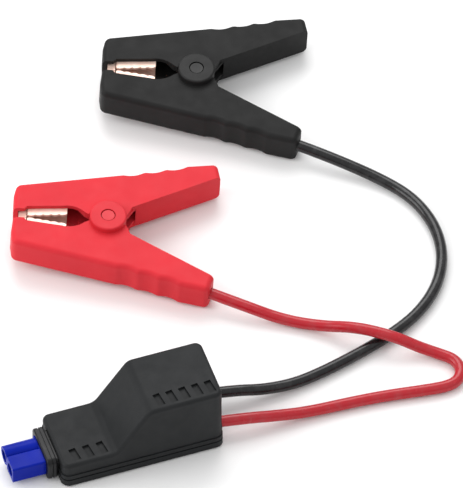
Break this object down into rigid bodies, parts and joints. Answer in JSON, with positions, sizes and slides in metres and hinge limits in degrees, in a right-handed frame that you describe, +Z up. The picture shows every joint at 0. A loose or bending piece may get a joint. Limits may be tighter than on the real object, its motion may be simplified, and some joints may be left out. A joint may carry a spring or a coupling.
{
  "type": "jumper clamp lead set",
  "caption": "Lead set of a jump starter: two-bore polarised plug, stepped control module and two flexible leads, red and black, ending in sprung clamps with toothed copper jaws.",
  "frame": {"origin": "middle of the control module's flat base, on the surface the set lies on", "axes": "+Z up from the surface; -X along the plug, away from the module; the leads leave towards +X and the clamps lie on the +Y side"},
  "size_m": [0.2444, 0.2482, 0.039],
  "materials": {
    "cover_black": "satin, fine moulded grain",
    "tray_black": "satin, fine moulded grain",
    "steel": "zinc-plated steel",
    "collar_black": "matt",
    "plug_blue": "moulded, semi-gloss",
    "contact_brass": "turned",
    "board_green": "solder mask",
    "relay_case": "moulded",
    "buzzer_black": "moulded",
    "capacitor_can": "sleeved can",
    "chip_black": "moulded epoxy",
    "grommet_black": "matt",
    "tinned_copper": "tin-plated",
    "lead_red": "silicone, glossy",
    "lead_black": "silicone, glossy",
    "clamp_red": "satin, fine grain",
    "clamp_black": "satin, fine grain",
    "cap_red": "satin",
    "cap_black": "satin",
    "pin_red": "satin",
    "pin_black": "satin",
    "jaw_copper": "copper-plated, pressed",
    "spring_steel": "spring wire"
  },
  "bodies": {
    "lead_set": {"black_crimp_barrel": "tinned_copper", "black_lead": "lead_black", "black_lead_grommet": "grommet_black", "black_lead_inner_end": "lead_black", "black_lead_lug": "tinned_copper", "black_lead_tail": "lead_black", "black_lower_jaw": "jaw_copper", "black_lower_jaw_screws": "steel", "black_lower_shell": "clamp_black", "black_pivot_caps": "cap_black", "black_pivot_pin": "pin_black", "black_torsion_spring": "spring_steel", "bottom_tray": "tray_black", "buzzer": "buzzer_black", "collar_boot": "collar_black", "control_chip": "chip_black", "cover_screws": "steel", "filter_capacitor": "capacitor_can", "main_board": "board_green", "negative_contact": "contact_brass", "negative_inner_wire": "lead_black", "plug_housing": "plug_blue", "positive_contact": "contact_brass", "positive_inner_wire": "lead_red", "power_relay": "relay_case", "red_crimp_barrel": "tinned_copper", "red_lead": "lead_red", "red_lead_grommet": "grommet_black", "red_lead_inner_end": "lead_red", "red_lead_lug": "tinned_copper", "red_lead_tail": "lead_red", "red_lower_jaw": "jaw_copper", "red_lower_jaw_screws": "steel", "red_lower_shell": "clamp_red", "red_pivot_caps": "cap_red", "red_pivot_pin": "pin_red", "red_torsion_spring": "spring_steel", "top_cover": "cover_black"},
    "red_jaw": {"red_upper_shell": "clamp_red", "red_upper_jaw": "jaw_copper", "red_upper_jaw_screws": "steel"},
    "black_jaw": {"black_upper_shell": "clamp_black", "black_upper_jaw": "jaw_copper", "black_upper_jaw_screws": "steel"}
  },
  "joints": [
    {"name": "red_clamp_hinge", "type": "hinge", "parent": "lead_set", "child": "red_jaw", "pos_m": [0.0272, 0.1188, 0.0117], "axis": [-0.0312, 0.0523, -0.9981], "range_deg": [0, 36], "stiffness_Nm_per_rad": 0.8, "springref_deg": -34.38, "deforming": ["red_torsion_spring"]},
    {"name": "black_clamp_hinge", "type": "hinge", "parent": "lead_set", "child": "black_jaw", "pos_m": [0.0971, 0.1933, 0.0117], "axis": [-0.0312, 0.0523, -0.9981], "range_deg": [0, 36], "stiffness_Nm_per_rad": 0.8, "springref_deg": -34.38, "deforming": ["black_torsion_spring"]}
  ]
}
